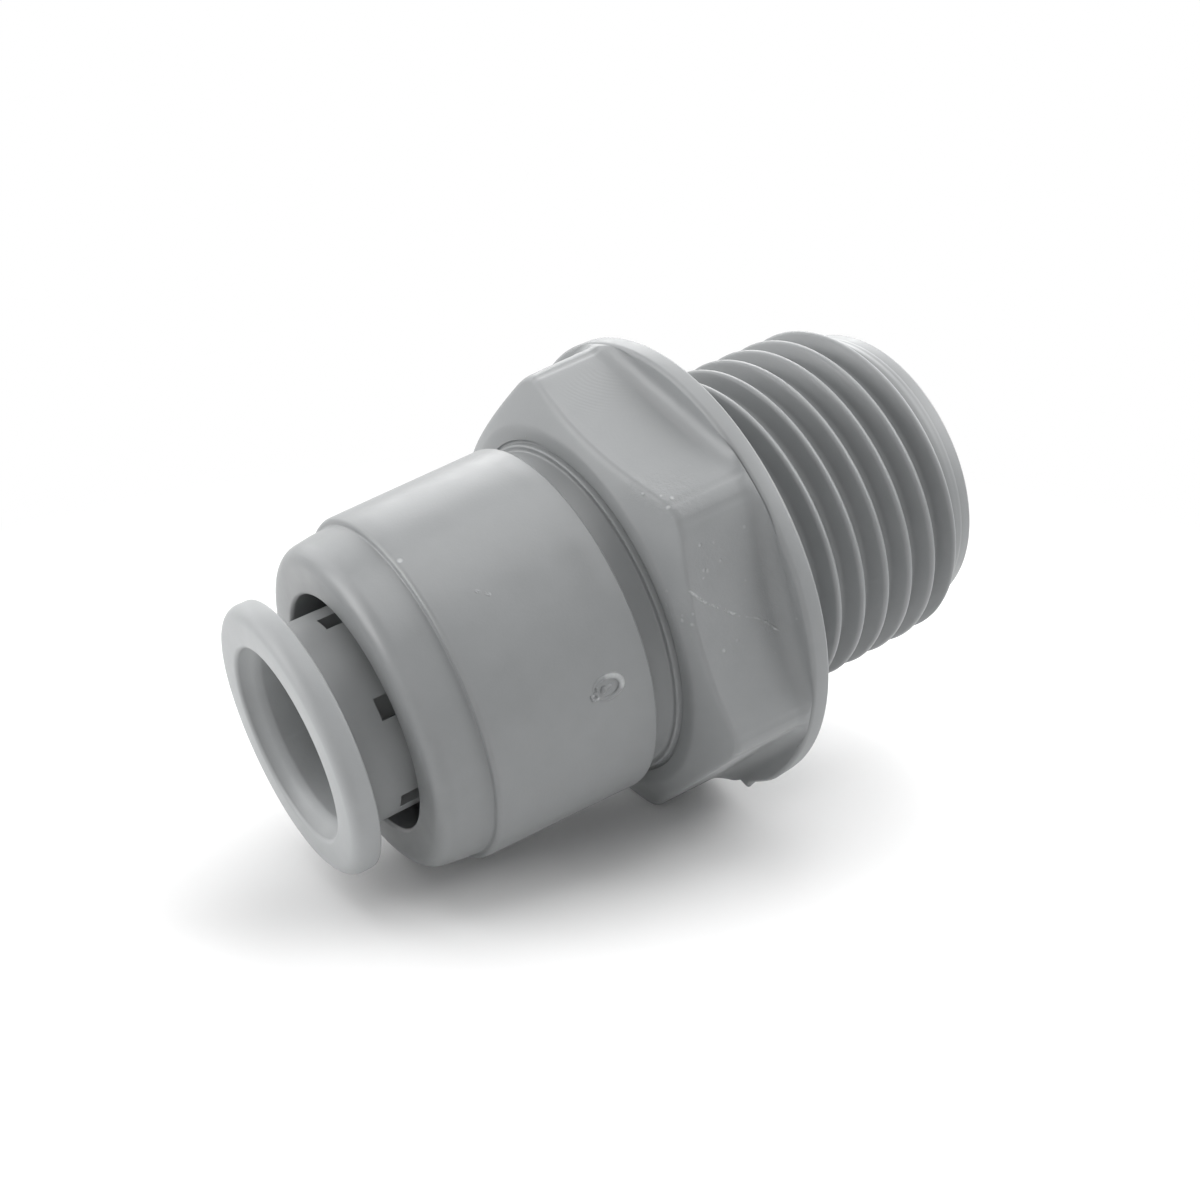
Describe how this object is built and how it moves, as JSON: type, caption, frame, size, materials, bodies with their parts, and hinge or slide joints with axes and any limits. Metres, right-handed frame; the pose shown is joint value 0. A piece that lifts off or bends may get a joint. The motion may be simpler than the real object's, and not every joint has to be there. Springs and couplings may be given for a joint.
{
  "type": "push-in male thread adapter",
  "caption": "Moulded push-in tube fitting with a parallel male pipe thread, a flanged hexagon, a capped tube socket and a sliding release collet.",
  "frame": {"origin": "centre of the spigot's end face, on which the fitting stands", "axes": "+Z along the fitting's axis, from the thread's end towards the tube socket; +X and -X through two corners of the hexagon"},
  "size_m": [0.0284, 0.0284, 0.0419],
  "materials": {
    "moulded_body": "satin grey moulded plastic",
    "moulded_cap": "smooth satin grey moulded plastic",
    "moulded_collet": "satin grey moulded plastic",
    "seal_rubber": "matte black rubber",
    "natural_plastic": "natural white moulded plastic",
    "spring_steel": "bright stainless strip"
  },
  "bodies": {
    "fitting": {"body": "moulded_body", "cap": "moulded_cap", "inner_o_ring": "seal_rubber", "spacer": "natural_plastic", "outer_o_ring": "seal_rubber", "thrust_ring": "natural_plastic"},
    "release_collet": {"collet": "moulded_collet", "tooth_1": "spring_steel", "tooth_2": "spring_steel", "tooth_3": "spring_steel", "tooth_4": "spring_steel", "tooth_5": "spring_steel", "tooth_6": "spring_steel"}
  },
  "joints": [
    {"name": "collet_slide", "type": "slide", "parent": "fitting", "child": "release_collet", "axis": [0, 0, 1], "range_m": [-0.0025, 0]}
  ]
}
